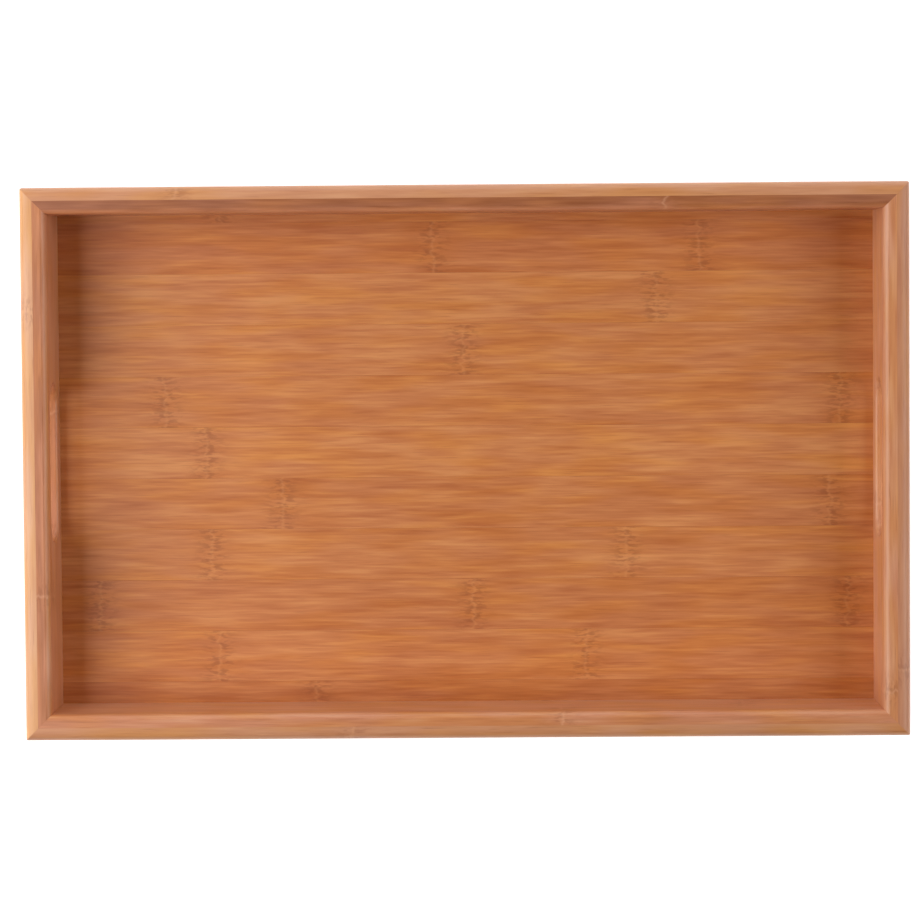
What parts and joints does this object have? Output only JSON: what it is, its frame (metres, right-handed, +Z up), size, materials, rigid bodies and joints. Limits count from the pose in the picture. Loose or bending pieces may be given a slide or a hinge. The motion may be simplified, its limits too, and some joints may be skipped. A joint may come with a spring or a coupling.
{
  "type": "serving tray",
  "caption": "Rectangular bamboo serving tray with mitred two-ply rails, a round-ended hand slot through each end rail and a flat base of edge-glued strips housed in a groove.",
  "frame": {"origin": "middle of the underside, on the surface that the tray stands on", "axes": "+X along the tray's length, from hand slot to hand slot; +Y across its width, towards the back rail; +Z up"},
  "size_m": [0.4, 0.25, 0.045],
  "materials": {
    "rail_outer": "caramel bamboo under satin clear lacquer",
    "rail_inner": "darker caramel bamboo under satin clear lacquer",
    "base_strip": "caramel bamboo, strips along the length, under satin clear lacquer",
    "spline": "bare bamboo, glued in"
  },
  "bodies": {
    "root": {"front_rail_outer_ply": "rail_outer", "front_rail_inner_ply": "rail_inner", "back_rail_outer_ply": "rail_outer", "back_rail_inner_ply": "rail_inner", "left_rail_outer_ply": "rail_outer", "left_rail_inner_ply": "rail_inner", "right_rail_outer_ply": "rail_outer", "right_rail_inner_ply": "rail_inner", "base_strip_01": "base_strip", "base_strip_02": "base_strip", "base_strip_03": "base_strip", "base_strip_04": "base_strip", "base_strip_05": "base_strip", "base_strip_06": "base_strip", "base_strip_07": "base_strip", "base_strip_08": "base_strip", "base_strip_09": "base_strip", "base_strip_10": "base_strip", "base_strip_11": "base_strip", "mitre_spline_front_left": "spline", "mitre_spline_front_right": "spline", "mitre_spline_back_right": "spline", "mitre_spline_back_left": "spline"}
  },
  "joints": []
}
